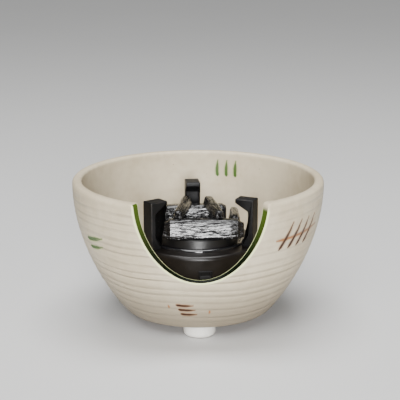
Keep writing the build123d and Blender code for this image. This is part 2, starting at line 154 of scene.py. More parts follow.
def soften(values, width):
    """A closed row of numbers blurred by a bell curve of that width, in steps of the row."""
    count = len(values)
    step = np.minimum(np.arange(count), count - np.arange(count))
    bell = np.exp(-0.5 * (step / width) ** 2)
    return np.fft.ifft(np.fft.fft(values) * np.fft.fft(bell / bell.sum())).real


def lattice_noise(along, around, cells, seed):
    """Value noise from -1 to 1: random numbers on a lattice, joined by 3t^2 - 2t^3, closed in around.

    Along is in lattice cells, and around is a share of the turn that holds cells of them.
    """
    rows = int(np.max(along)) + 3
    numbers = np.random.default_rng(seed).uniform(-1, 1, (rows, cells))
    across = np.mod(around, 1.0) * cells
    row, column = np.floor(along).astype(int), np.floor(across).astype(int)
    part, share = along - row, across - column
    part, share = part * part * (3 - 2 * part), share * share * (3 - 2 * share)
    column, beside = column % cells, (column + 1) % cells
    low = numbers[row, column] * (1 - share) + numbers[row, beside] * share
    high = numbers[row + 1, column] * (1 - share) + numbers[row + 1, beside] * share
    return low * (1 - part) + high * part


def turned(radius, height, azimuth):
    """Points at a distance from the axis and a height, at azimuths from the front, counter-clockwise."""
    return np.stack([radius * np.sin(azimuth), -radius * np.cos(azimuth), height + 0 * azimuth], -1)


# Shader nodes

class Term:
    """A node's output. A sum written with terms, such as a * b or 1 - a, adds a node for each sign."""

    def __init__(self, socket):
        self.socket, self.tree = socket, socket.id_data

    def __add__(self, other):
        return maths("ADD", self, other)

    def __radd__(self, other):
        return maths("ADD", other, self)

    def __sub__(self, other):
        return maths("SUBTRACT", self, other)

    def __rsub__(self, other):
        return maths("SUBTRACT", other, self)

    def __mul__(self, other):
        return maths("MULTIPLY", self, other)

    def __truediv__(self, other):
        return maths("DIVIDE", self, other)

    def __abs__(self):
        return maths("ABSOLUTE", self)


def join(node, inputs):
    """Give each of a node's inputs a value, or link it to the output that a term stands for."""
    for key, value in inputs.items():
        if isinstance(value, Term):
            value.tree.links.new(value.socket, node.inputs[key])
        else:
            node.inputs[key].default_value = value


def outputs_of(node):
    """A node's outputs as terms, by number and by name."""
    return {key: Term(socket) for number, socket in enumerate(node.outputs) for key in (number, socket.name)}


def put(tree, kind, inputs=None, **settings):
    """Add a node, set it up, join its inputs and give its outputs."""
    node = tree.nodes.new(kind)
    for key, value in settings.items():
        setattr(node, key, value)
    join(node, inputs or {})
    return outputs_of(node)


def tree_of(values):
    """The tree of the first term among some values."""
    return next(value.tree for value in values if isinstance(value, Term))


def maths(operation, *values):
    """The result of a sum on numbers or terms."""
    return put(tree_of(values), "ShaderNodeMath", dict(enumerate(values)), operation=operation)[0]


def largest(first, *others):
    """The largest of some numbers."""
    for other in others:
        first = maths("MAXIMUM", first, other)
    return first


def vector_maths(operation, *values):
    """The result of a sum on vectors: a number for a dot product or a length, and a vector otherwise."""
    results = put(tree_of(values), "ShaderNodeVectorMath", dict(enumerate(values)), operation=operation)
    return results["Value" if operation in ("DOT_PRODUCT", "LENGTH") else "Vector"]


def split(vector):
    """The three numbers of a vector."""
    parts = put(vector.tree, "ShaderNodeSeparateXYZ", {0: vector})
    return parts[0], parts[1], parts[2]


def combined(x, y=0.0, z=0.0):
    """A vector of three numbers."""
    return put(tree_of((x, y, z)), "ShaderNodeCombineXYZ", {0: x, 1: y, 2: z})[0]


def azimuth_of(x, y):
    """The angle round the axis from the front, positive to the right: the arctangent of x over -y."""
    return maths("ARCTAN2", x, y * -1.0)


def ramp(value, low, high, start=0.0, end=1.0):
    """A number that goes smoothly from start at low to end at high, and stays there."""
    inputs = {"Value": value, "From Min": low, "From Max": high, "To Min": start, "To Max": end}
    return put(value.tree, "ShaderNodeMapRange", inputs, interpolation_type="SMOOTHSTEP")[0]


def mixed(factor, first, second):
    """A colour between two colours."""
    return put(factor.tree, "ShaderNodeMix", {0: factor, 6: first, 7: second}, data_type="RGBA")[2]


def noise(place, scale, detail=3.0, roughness=0.55):
    """Soft noise from 0 to 1 over a place."""
    inputs = {"Vector": place, "Scale": scale, "Detail": detail, "Roughness": roughness}
    return put(place.tree, "ShaderNodeTexNoise", inputs)["Fac"]


def dots(place, scale, channel, chance, near, far):
    """Dots from 0 to 1 in the cells whose random number is above chance, fading out from near to far."""
    cells = put(place.tree, "ShaderNodeTexVoronoi", {"Vector": place, "Scale": scale})
    number = put(place.tree, "ShaderNodeSeparateColor", {0: cells["Color"]})[channel]
    return ramp(cells["Distance"], near, far, 1.0, 0.0) * maths("GREATER_THAN", number, chance)


def object_place(tree):
    """The point on the piece, in metres."""
    return put(tree, "ShaderNodeTexCoord")["Object"]


def mark_value(tree, name, kind="Fac"):
    """A number or vector that the mesh carries under a name."""
    return put(tree, "ShaderNodeAttribute", attribute_name=name)[kind]


def rgba(colour, share=1.0):
    """Four numbers from a colour, made darker or lighter by a share."""
    return (colour[0] * share, colour[1] * share, colour[2] * share, 1.0)


def new_group(name, inputs, outputs):
    """An empty node group with named sockets: its tree, and what it is given, by name."""
    tree = bpy.data.node_groups.new(name, "ShaderNodeTree")
    kinds = {"value": "NodeSocketFloat", "colour": "NodeSocketColor", "vector": "NodeSocketVector"}
    for side, sockets in (("INPUT", inputs), ("OUTPUT", outputs)):
        for socket_name, kind in sockets.items():
            tree.interface.new_socket(name=socket_name, in_out=side, socket_type=kinds[kind])
    return tree, outputs_of(tree.nodes.new("NodeGroupInput"))


def use_group(tree, name, inputs):
    """Place a group, built the first time that it is asked for, and give its outputs."""
    if name not in bpy.data.node_groups:
        group_makers[name](name)
    return put(tree, "ShaderNodeGroup", inputs, node_tree=bpy.data.node_groups[name])


def make_glaze_depth(name):
    """Glaze that pools and thins in clouds, with fine iron specks and a faint orange-peel skin."""
    tree, given = new_group(
        name,
        {"Place": "vector", "Thick": "colour", "Thin": "colour", "Speck": "colour", "Specks": "value"},
        {"Colour": "colour", "Roughness": "value", "Height": "value"},
    )
    cloud = noise(given["Place"], 16.0, 4.0, 0.6)
    fine = noise(given["Place"], 130.0, 3.0, 0.6)
    clouds = cloud * 0.75 + fine * 0.25
    base = mixed(ramp(clouds, 0.35, 0.66), given["Thick"], given["Thin"])
    speck = dots(given["Place"], 230.0, 0, 1.0 - given["Specks"], 0.06, 0.16)
    put(tree, "NodeGroupOutput", {
        "Colour": mixed(speck * 0.65, base, given["Speck"]),
        "Roughness": ramp(clouds, 0.3, 0.7, 0.42, 0.56),
        "Height": fine * 0.00006 + cloud * 0.00025 - speck * 0.00005,
    })


def make_throwing_rings(name):
    """Lines left by the potter's fingers: one spiral round the axis that wanders, with fine combing on it."""
    tree, given = new_group(
        name, {"Place": "vector", "Spacing": "value", "Depth": "value"}, {"Height": "value"})
    x, y, z = split(given["Place"])
    azimuth = azimuth_of(x, y)
    sway = noise(given["Place"], 8.0, 1.0) * 1.5
    climb = z / given["Spacing"] - azimuth / (2 * pi) + sway
    level_only = combined(3.7, 0.0, climb)
    climb = climb + noise(level_only, 0.62, 1.0)
    second = maths("SINE", maths("MULTIPLY_ADD", climb, 4 * pi, 0.3))
    broad = maths("SINE", climb * (2 * pi)) + second * 0.22
    comb = noise(combined(azimuth * 0.35, 0.0, climb), 2.4, 3.0, 0.65)
    strength = ramp(noise(given["Place"], 14.0, 1.0), 0.3, 0.7, 0.45, 1.25)
    each = ramp(noise(level_only, 0.9, 1.0), 0.35, 0.65, 0.7, 1.6)
    total = broad * (strength * each) + comb * 1.8
    put(tree, "NodeGroupOutput", {"Height": total * given["Depth"]})


def make_brush_stroke(name):
    """A brushed line from one point to another on the unrolled wall, in millimetres.

    It bows to one side by Bend at its middle, thins towards its end, and breaks up where the brush is dry.
    Halo is the tint that soaks into the glaze beside it.
    """
    tree, given = new_group(
        name,
        {"Place": "vector", "Start": "vector", "End": "vector", "Bend": "value", "Width": "value",
         "Dryness": "value"},
        {"Mask": "value", "Halo": "value"},
    )
    away = vector_maths("SUBTRACT", given["Place"], given["Start"])
    way = vector_maths("SUBTRACT", given["End"], given["Start"])
    length = vector_maths("LENGTH", way)
    share = vector_maths("DOT_PRODUCT", away, way) / (length * length)
    side = split(vector_maths("CROSS_PRODUCT", away, way))[2] / length
    left = 1.0 - share
    bow = share * left * (given["Bend"] * 4.0)
    wobble = (noise(given["Place"], 0.22, 3.0) - 0.5) * 0.9
    off = abs(side - bow + wobble)
    press = ramp(share, -0.02, 0.10, 0.3, 1.0) * ramp(share, 0.5, 1.02, 1.0, 0.22)
    half = given["Width"] * 0.5 * press
    inside = maths("GREATER_THAN", share, -0.02) * maths("LESS_THAN", share, 1.02)
    body = ramp(off, half * 0.55, half + 0.28, 1.0, 0.0) * inside
    hairs = combined(share * length * 0.12, side * 3.5)
    gaps = ramp(noise(hairs, 1.0, 2.0) + left * 0.25, 0.42, 0.62)
    kept = 1.0 - given["Dryness"] * (1.0 - gaps)
    halo = ramp(off, half, half + 1.8, 1.0, 0.0) * inside
    put(tree, "NodeGroupOutput", {"Mask": body * kept, "Halo": halo})


def make_fine_grain(name):
    """Skin of a metal, enamel or plastic: fine bumps, a slow unevenness, and specks of dust."""
    tree, given = new_group(
        name, {"Place": "vector", "Scale": "value"},
        {"Height": "value", "Uneven": "value", "Dust": "value"})
    put(tree, "NodeGroupOutput", {
        "Height": noise(given["Place"], given["Scale"], 2.0, 0.6),
        "Uneven": ramp(noise(given["Place"], given["Scale"] / 18.0, 3.0, 0.6), 0.3, 0.7),
        "Dust": dots(given["Place"], 420.0, 1, 0.93, 0.05, 0.14),
    })


def make_bark(name):
    """Skin of charcoal along its own length: long ridges that wander, fine fibres and cross cracks.

    Place holds the distance along, the distance around and a number of its own for each piece.
    """
    tree, given = new_group(
        name, {"Place": "vector"}, {"Height": "value", "Groove": "value", "Soot": "value"})
    swirl = put(tree, "ShaderNodeTexNoise", {"Vector": given["Place"], "Scale": 42.0, "Detail": 2.0})["Color"]
    drift = vector_maths("MULTIPLY", vector_maths("SUBTRACT", swirl, (0.5, 0.5, 0.5)), (0.004, 0.009, 0.0))
    swirled = vector_maths("ADD", given["Place"], drift)

    def stretched(*shares):
        return vector_maths("MULTIPLY", swirled, shares)

    sharp = abs(noise(stretched(60.0, 420.0, 9.0), 1.0, 4.0, 0.62) - 0.5)
    fibres = noise(stretched(160.0, 2400.0, 5.0), 1.0, 2.0)
    folds = noise(stretched(110.0, 300.0, 7.0), 1.0, 2.0, 0.5)
    soot = noise(stretched(95.0, 330.0, 4.0), 1.0, 4.0, 0.6)
    crack_place = {"Vector": stretched(230.0, 120.0, 3.0), "Scale": 1.0}
    crack = put(tree, "ShaderNodeTexVoronoi", crack_place, feature="DISTANCE_TO_EDGE")["Distance"]
    cracks = ramp(crack, 0.0, 0.06, 1.0, 0.0)
    put(tree, "NodeGroupOutput", {
        "Height": sharp * 1.3 + fibres * 0.12 + folds * 5.5 - cracks * 0.25,
        "Groove": ramp(sharp, 0.0, 0.09, 1.0, 0.0),
        "Soot": ramp(soot, 0.49, 0.58),
    })


group_makers = {
    "Glaze depth": make_glaze_depth,
    "Throwing rings": make_throwing_rings,
    "Brush stroke": make_brush_stroke,
    "Fine grain": make_fine_grain,
    "Bark": make_bark,
}


def start_material(name):
    """A material with a Principled shader: the material, its tree and the shader."""
    material = bpy.data.materials.new(name)
    material.use_nodes = True
    tree = material.node_tree
    return material, tree, tree.nodes["Principled BSDF"]


def finish_material(shader, colour, roughness, height=None, distance=0.0002, **others):
    """Join a material's ends. Height is in shares of distance, which is in metres."""
    inputs = {key.replace("_", " ").title().replace("Ior", "IOR"): value for key, value in others.items()}
    if height is not None:
        bump = {"Height": height, "Distance": distance, "Strength": 1.0}
        inputs["Normal"] = put(colour.tree, "ShaderNodeBump", bump)["Normal"]
    join(shader, {"Base Color": colour, "Roughness": roughness, **inputs})


def plain_finish(name, colour, roughness, grain=700.0, depth=0.00003, spread=0.08, dust=0.15, **others):
    """A finish of one tone: its colour and gloss wander a little, and its skin has a fine grain."""
    material, tree, shader = start_material(name)
    skin = use_group(tree, "Fine grain", {"Place": object_place(tree), "Scale": grain})
    tone = mixed(skin["Uneven"], rgba(colour, 0.82), rgba(colour, 1.18))
    tone = mixed(skin["Dust"] * dust, tone, dust_colour)
    gloss = ramp(skin["Uneven"], 0.0, 1.0, roughness - spread, roughness + spread)
    finish_material(shader, tone, gloss, skin["Height"], depth, **others)
    return material


def dress(material, *nodes):
    """Give CAD nodes a finish."""
    for node in nodes:
        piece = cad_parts[node]
        piece.data.materials.clear()
        piece.data.materials.append(material)


# Bowl

def bowl_sides():
    """Radius and height along the bowl's outer and inner sides, with the distance along each.

    Outer: radius = base + (rim - base) * (1 - (1 - s)^1.9)^0.92 at a share s of the height, then straight
    up. Inner: the outer side moved in square to itself by the wall's thickness, with a cubic from the floor.
    """
    share = np.linspace(0, 1, 600) ** 1.6
    radius = base_radius + (rim_radius - base_radius) * (1 - (1 - share) ** belly_power) ** belly_fill
    side = np.stack([radius, foot_height + share * (widest_height - foot_height)], -1)
    along = np.gradient(side, axis=0)
    along /= np.linalg.norm(along, axis=1)[:, None]
    kept = share >= floor_share
    inner = side[kept] + wall_thickness * np.stack([-along[kept, 1], along[kept, 0]], -1)
    t = np.linspace(0, 1, 60)[:-1, None]
    low, reach = np.array([floor_radius, floor_top]), np.linalg.norm(inner[0] - (floor_radius, floor_top))
    start_way, end_way = np.array([1.0, 0.25]) * reach, along[kept][0] * reach
    rise = ((2 * t**3 - 3 * t**2 + 1) * low + (t**3 - 2 * t**2 + t) * start_way
            + (3 * t**2 - 2 * t**3) * inner[0] + (t**3 - t**2) * end_way)
    outer = np.vstack([side, (rim_radius, rim_height)])
    inner = np.vstack([rise, inner, (rim_radius - wall_thickness, rim_height)])
    return even(outer, 900), even(inner, 900)


def bowl_edge(corner):
    """The closed line where the wall ends: the rim, and down round the window, with softened corners.

    On the unrolled wall: azimuth = atan(tan 29.8 * sin f) and height = top - fall * cos(f)^1.15 round the
    window, and a level line at the rim. Gives distance round the rim, height, and the way out of the clay.
    """
    fall = rim_height + window_flare - window_bottom
    steepest = np.arccos((window_flare / fall) ** (1 / window_power))
    turn = np.linspace(-steepest, steepest, 1500)
    azimuth = np.arctan(tan(radians(window_half_angle)) * np.sin(turn))
    window = np.stack([azimuth * rim_radius, window_bottom + fall * (1 - np.cos(turn) ** window_power)], -1)
    full = 2 * pi * rim_radius
    rim = np.array([[full + window[0, 0], rim_height]])
    line, place = even(np.vstack([window, rim]), edge_steps + 1)
    line, place = line[:-1], place[:-1]
    round_rim = np.arange(edge_steps) * full / edge_steps
    step = place[1]
    across = soften(line[:, 0] - round_rim, corner / step)
    height = soften(line[:, 1], corner / step)
    way = np.stack([np.roll(across, -1) - np.roll(across, 1) + 2 * full / edge_steps,
                    np.roll(height, -1) - np.roll(height, 1)], -1)
    way /= np.linalg.norm(way, axis=1)[:, None]
    window_length = np.linalg.norm(np.diff(window, axis=0), axis=1).sum()
    return across + round_rim, height, np.stack([-way[:, 1], way[:, 0]], -1), place, window_length


def rounded(first, corner, last, count):
    """Points on a near-circular arc from first to last that turns at a corner: a conic of weight 0.707."""
    t = np.linspace(0, 1, count)[:, None, None]
    weights = (1 - t) ** 2, 1.41421 * t * (1 - t), t**2
    return (weights[0] * first + weights[1] * corner + weights[2] * last) / sum(weights)


def make_bowl_mesh(settings, material):
    """The bowl as one closed surface: underside, outer wall, rounded edge, inner wall and floor.

    A column starts at the axis under the bowl, runs out and up the outer wall to the edge line, over the
    edge and down the inner wall to the axis. Throwing rings move the walls out by a sum of sines of the
    spiral phase height / spacing - azimuth.
    """
    (outer, outer_place), (inner, inner_place) = bowl_sides()
    across, height, out_way, place, window_length = bowl_edge(settings.corner_softness)
    total = place[-1] + place[1]
    into_rim = np.minimum(place - window_length, total - place)
    rim_share = smooth_step(into_rim, 0.0, 14.0)
    density = np.where(into_rim < 16.0, 1 / 1.25, 1 / 3.1)
    count_at = np.concatenate([[0], np.cumsum(density)])
    wanted = np.linspace(0, count_at[-1], bowl_columns, endpoint=False)
    picked = np.interp(wanted, count_at, np.arange(edge_steps + 1))
    near = np.minimum(np.round(picked).astype(int), edge_steps - 1)
    azimuth, edge_height, out_way = across[near] / rim_radius, height[near], out_way[near]
    rim_share = rim_share[near]
    window_share = 1 - smooth_step(into_rim[near], -9.0, -3.0)
    base_azimuth = 2 * pi * (place[near] - window_length / 2) / total

    def on_side(side, side_place, shift_azimuth, distance):
        radius = np.interp(distance, side_place, side[:, 0])
        return turned(radius, np.interp(distance, side_place, side[:, 1]), shift_azimuth)

    outer_round = settings.edge_round * (1 - rim_share) + rim_outer_round * rim_share
    inner_round = 0.8 * settings.edge_round * (1 - rim_share) + rim_inner_round * rim_share
    edge_place = np.interp(edge_height, outer[:, 1], outer_place)
    edge_radius = np.interp(edge_height, outer[:, 1], outer[:, 0])
    inner_edge_place = np.interp(edge_height, inner[:, 1], inner_place)
    inner_radius = np.interp(edge_height, inner[:, 1], inner[:, 0])
    end_azimuth = azimuth - outer_round * out_way[:, 0] / edge_radius
    end_place = edge_place - outer_round * out_way[:, 1]
    inner_azimuth = azimuth - inner_round * out_way[:, 0] / inner_radius
    inner_place_end = inner_edge_place - inner_round * out_way[:, 1]

    wall_rows, cap_rows, inner_rows = 84, 9, 62
    share = np.linspace(0, 1, wall_rows)[:, None]
    outer_azimuth = base_azimuth + (end_azimuth - base_azimuth) * share
    outer_distance = end_place * share
    outer_wall = on_side(outer, outer_place, outer_azimuth, outer_distance)
    underside = turned(np.array([8, 26, 44, 60, 72, 77.5, 79.4])[:, None] + 0 * base_azimuth,
                       foot_height, base_azimuth + np.zeros((7, 1)))
    edge_point = turned(edge_radius, edge_height, azimuth)
    inner_point = turned(inner_radius, edge_height, azimuth)
    across_wall = (inner_point - edge_point) / np.linalg.norm(inner_point - edge_point, axis=1)[:, None]
    cap_start = edge_point + across_wall * outer_round[:, None]
    cap_end = inner_point - across_wall * inner_round[:, None]
    outer_arc = rounded(outer_wall[-1], edge_point, cap_start, 7)[1:]
    share_cap = np.linspace(0, 1, cap_rows)[1:-1, None, None]
    cap = cap_start + (cap_end - cap_start) * share_cap
    share_in = np.linspace(1, 0, inner_rows)[:, None]
    inner_wall_azimuth = base_azimuth + (inner_azimuth - base_azimuth) * share_in
    inner_wall = on_side(inner, inner_place, inner_wall_azimuth, inner_place_end * share_in)
    inner_arc = rounded(cap_end, inner_point, inner_wall[0], 6)[:-1]
    floor = turned(np.array([66, 52, 36, 20, 8])[:, None] + 0 * base_azimuth, floor_top,
                   base_azimuth + np.zeros((5, 1)))

    edge_gap = ((edge_height - outer_wall[..., 2]) * out_way[:, 1]
                + (azimuth - outer_azimuth) * edge_radius * out_way[:, 0])
    inner_gap = ((edge_height - inner_wall[..., 2]) * out_way[:, 1]
                 + (azimuth - inner_wall_azimuth) * inner_radius * out_way[:, 0])
    for wall, wall_azimuth, gap, depth, spacing in (
        (outer_wall, outer_azimuth, edge_gap, settings.ring_depth, settings.ring_spacing),
        (inner_wall, inner_wall_azimuth, inner_gap, 0.7 * settings.ring_depth, 0.8 * settings.ring_spacing),
    ):
        level = wall[..., 2]
        phase = (2 * pi * level / spacing - wall_azimuth + 0.8 * np.sin(wall_azimuth + 0.4)
                 + 0.5 * np.sin(2 * wall_azimuth - 1.0) + 1.1 * np.sin(level / 23.0))
        strength = smooth_step(level, 14.0, 30.0) * (1 - 0.85 * smooth_step(level, 118.0, 150.0))
        strength = strength * smooth_step(gap, 1.0, 9.0) * (0.75 + 0.25 * np.sin(level / 11.0 + 2.0))
        bulge = 0.3 * depth * strength * np.sin(phase)
        wall[..., 0] += bulge * np.sin(wall_azimuth)
        wall[..., 1] -= bulge * np.cos(wall_azimuth)

    parts = (underside, outer_wall, outer_arc, cap, inner_arc, inner_wall, floor)
    grid = np.concatenate(parts)
    starts = np.cumsum([0] + [len(part) for part in parts])
    edge_distance = np.full(grid.shape[:2], far)
    edge_distance[:starts[2]] = -far
    edge_distance[starts[1]:starts[2]] = -np.clip(edge_gap, 0.0, far)
    crossing = np.concatenate([outer_arc, cap, inner_arc])
    not_yet_up = np.concatenate([(1 - np.linspace(0, 1, 7)[1:, None]) * outer_round,
                                 np.zeros((len(cap) + len(inner_arc), bowl_columns))])
    edge_distance[starts[2]:starts[5]] = ((crossing - edge_point) * across_wall).sum(-1) - not_yet_up
    width = np.linalg.norm(inner_point - edge_point, axis=1)
    inner_distance = np.full(grid.shape[:2], -far)
    inner_distance[starts[2]:starts[5]] = edge_distance[starts[2]:starts[5]] - width
    inner_distance[starts[4]:starts[5]] += np.linspace(0, 1, 6)[:-1, None] * inner_round
    inner_distance[starts[5]:starts[6]] = np.clip(inner_gap, 0.0, far)
    inner_distance[starts[6]:] = far
    surface(
        "bowl_wall", grid, material, "bowl", ("fire_bowl",),
        first_pole=(0, 0, foot_height), last_pole=(0, 0, floor_top),
        marks={"edge_distance": edge_distance, "inner_distance": inner_distance,
               "window_share": np.broadcast_to(window_share, grid.shape[:2])},
    )


def wall_point(azimuth, height):
    """A place on the unrolled wall, in millimetres, for an azimuth in degrees and a height."""
    return (radians(azimuth) * motif_radius, height, 0.0)


# Brushed lines, each: start azimuth and height, end azimuth and height, bend, width, dryness
# A plain hatching high at the right, short dashes under the window, and bars in green
iron_lines = (
    *((38 + 6 * step, 104, 45 + 6 * step, 132, 0.8, 4.0, 0.35) for step in range(4)),
    *((-14 + step, 46 - 6 * step, -4 + step, 46 - 6 * step, 0.6, 3.4, 0.4) for step in range(3)),
)
faint_lines = (
    (36, 115, 67, 119, 1.0, 2.8, 0.5),
    (-19, 43, -17.8, 43, 0.0, 4.2, 0.0),
    (5, 37, 6.2, 37, 0.0, 4.2, 0.0),
)
green_outside_lines = (
    (-64, 106, -50, 112, 0.8, 5.2, 0.35),
    (-63, 97, -51, 102, 0.8, 4.4, 0.45),
)
green_inside_lines = tuple((158 + 5 * step, 128, 158 + 5 * step, 147, 0.6, 4.2, 0.4) for step in range(3))


def make_bowl_material(settings):
    """Cream glaze with brushed iron and copper green, a green cut face and bare clay underneath."""
    material, tree, shader = start_material("Cream glaze")
    place = object_place(tree)
    glaze = use_group(tree, "Glaze depth", {
        "Place": place, "Thick": rgba(settings.glaze_colour), "Thin": rgba(settings.thin_colour),
        "Speck": rgba(settings.iron_colour), "Specks": 0.035})
    x, y, z = split(place)
    azimuth, height = azimuth_of(x, y), z * 1000.0
    folded = maths("FLOORED_MODULO", azimuth + pi / 2, pi) - pi / 2
    edge, inner_edge = mark_value(tree, "edge_distance"), mark_value(tree, "inner_distance")
    window = mark_value(tree, "window_share")
    inner = ramp(inner_edge, -1.5, 0.5)
    outer = 1.0 - inner
    # Painted shade: the outer wall's glaze turns darker from this height down to the foot
    painted_belly_shade = ramp(height, foot_height, belly_shade_top, 1.0, 0.0) * outer
    colour = mixed(painted_belly_shade, glaze["Colour"], rgba(settings.painted_belly_shade_colour))
    green, rust = settings.green_colour, settings.faint_colour
    pale_green = settings.green_halo_colour
    for turn, lines, tint, soaked, here in (
        (folded, faint_lines, rust, rust, outer), (folded, iron_lines, settings.iron_colour, rust, outer),
        (folded, green_outside_lines, green, pale_green, outer),
        (azimuth, green_inside_lines, green, pale_green, inner),
    ):
        spot = combined(turn * motif_radius, height)
        mask, halo = 0.0, 0.0
        for start_turn, start, end_turn, end, bend, width, dryness in lines:
            stroke = use_group(tree, "Brush stroke", {
                "Place": spot, "Start": wall_point(start_turn, start), "End": wall_point(end_turn, end),
                "Bend": bend, "Width": width, "Dryness": dryness})
            mask, halo = largest(stroke["Mask"], mask), largest(stroke["Halo"], halo)
        colour = mixed(halo * here * 0.5, colour, rgba(soaked))
        colour = mixed(mask * here, colour, rgba(tint))
    cut = ramp(edge, 0.15, 0.9) * ramp(inner_edge, -0.9, -0.3, 1.0, 0.0) * window
    # The cut face goes from its rim colour down to a near-black green: partly the glaze's own colour, partly
    # painted shade
    cut_glaze_and_shade_rise = ramp(height, 96.0, 158.0) * (0.75 + noise(place, 60.0, 2.0) * 0.4)
    colour = mixed(cut, colour, mixed(cut_glaze_and_shade_rise, rgba(settings.cut_foot_glaze_and_shade_colour), rgba(settings.cut_colour)))
    line = ramp(abs(edge + 0.9), 0.8, 1.7, 1.0, 0.0) * window
    inner_line = ramp(abs(inner_edge + 0.5), 0.7, 1.2, 1.0, 0.0) * window
    colour = mixed(largest(line, inner_line) * 0.85, colour, rgba(settings.edge_colour))
    under = ramp(height, foot_height + 0.1, foot_height + 0.6, 1.0, 0.0)
    bare = under * ramp(maths("SQRT", x * x + y * y), 0.0755, 0.0775, 1.0, 0.0)
    colour = mixed(bare, colour, rgba(settings.clay_colour))
    rings = use_group(tree, "Throwing rings", {
        "Place": place, "Spacing": settings.ring_spacing * 0.001, "Depth": settings.ring_depth * 0.001})
    worn_off = largest(ramp(height, 30.0, 16.0), ramp(height, 142.0, 157.0, 0.0, 0.85),
                       ramp(height, foot_height, 85.0, 0.6, 0.0), cut, ramp(edge, -4.0, -0.5))
    relief = (rings["Height"] * (1.0 - worn_off) + glaze["Height"]) * 1000.0
    gloss = {0: largest(cut, bare), 2: glaze["Roughness"], 3: ramp(bare, 0.0, 1.0, 0.2, 0.85)}
    roughness = put(tree, "ShaderNodeMix", gloss, data_type="FLOAT")[0]
    finish_material(shader, colour, roughness, relief, 0.001, specular_ior_level=0.28, ior=1.5)
    return material


class FURO_OT_make_bowl(bpy.types.Operator):
    """Build the bowl's wall with its window, and glaze it"""
    bl_idname = "furo.make_bowl"
    bl_label = "Bowl"

    def execute(self, context):
        settings = context.scene.furo_bowl
        make_bowl_mesh(settings, make_bowl_material(settings))
        return {"FINISHED"}


class FURO_OT_make_feet(bpy.types.Operator):
    """Build the three clay feet under the bowl"""
    bl_idname = "furo.make_feet"
    bl_label = "Feet"

    def execute(self, context):
        settings = context.scene.furo_bowl
        material, tree, shader = start_material("Foot glaze")
        place = object_place(tree)
        glaze = use_group(tree, "Glaze depth", {
            "Place": place, "Thick": rgba(settings.foot_colour), "Thin": rgba(settings.foot_colour, 0.86),
            "Speck": rgba(settings.iron_colour), "Specks": 0.02})
        bare = ramp(split(place)[2] + noise(place, 90.0) * 0.0009, 0.0009, 0.0015, 1.0, 0.0)
        colour = mixed(bare, glaze["Colour"], rgba(settings.clay_colour))
        rough = largest(glaze["Roughness"], bare * 0.85)
        finish_material(shader, colour, rough, glaze["Height"] * 1000.0, 0.001, coat_weight=0.15,
                        coat_roughness=0.25)
        azimuth = np.linspace(0, 2 * pi, 96, endpoint=False)
        rim = np.linspace(0, pi / 2, 12)
        radius = np.concatenate([[5.0, 9.0], foot_radius - 4.4 + 4.4 * np.sin(rim),
                                 foot_radius + np.array([0.1, 0.0, -0.1, 0.2, 1.0])])
        level = np.concatenate([[0.0, 0.0], 4.4 * (1 - np.cos(rim)),
                                foot_height - np.array([7.0, 4.0, 1.6, 0.6, 0.0])])
        for name, turn in (("foot_front", 0), ("foot_left", -120), ("foot_right", 120)):
            angle = radians(turn)
            uneven = radius[:, None] * (1 + 0.008 * np.sin(2 * azimuth + turn))
            grid = turned(uneven, level[:, None], azimuth[None, :])
            centre = np.array([foot_circle * sin(angle), -foot_circle * cos(angle), 0.0])
            surface(name + "_clay", grid + centre, material, "bowl", (name,),
                    first_pole=centre, last_pole=centre + (0, 0, foot_height))
        return {"FINISHED"}


# Charcoal: a log's girth for each millimetre of its width and height together, and its section

girth = 2.6
bark_corners = np.array([(-0.50, -0.40), (-0.42, -0.50), (0.42, -0.50), (0.50, -0.40), (0.34, 0.38),
                         (0.22, 0.50), (-0.22, 0.50), (-0.34, 0.38)])


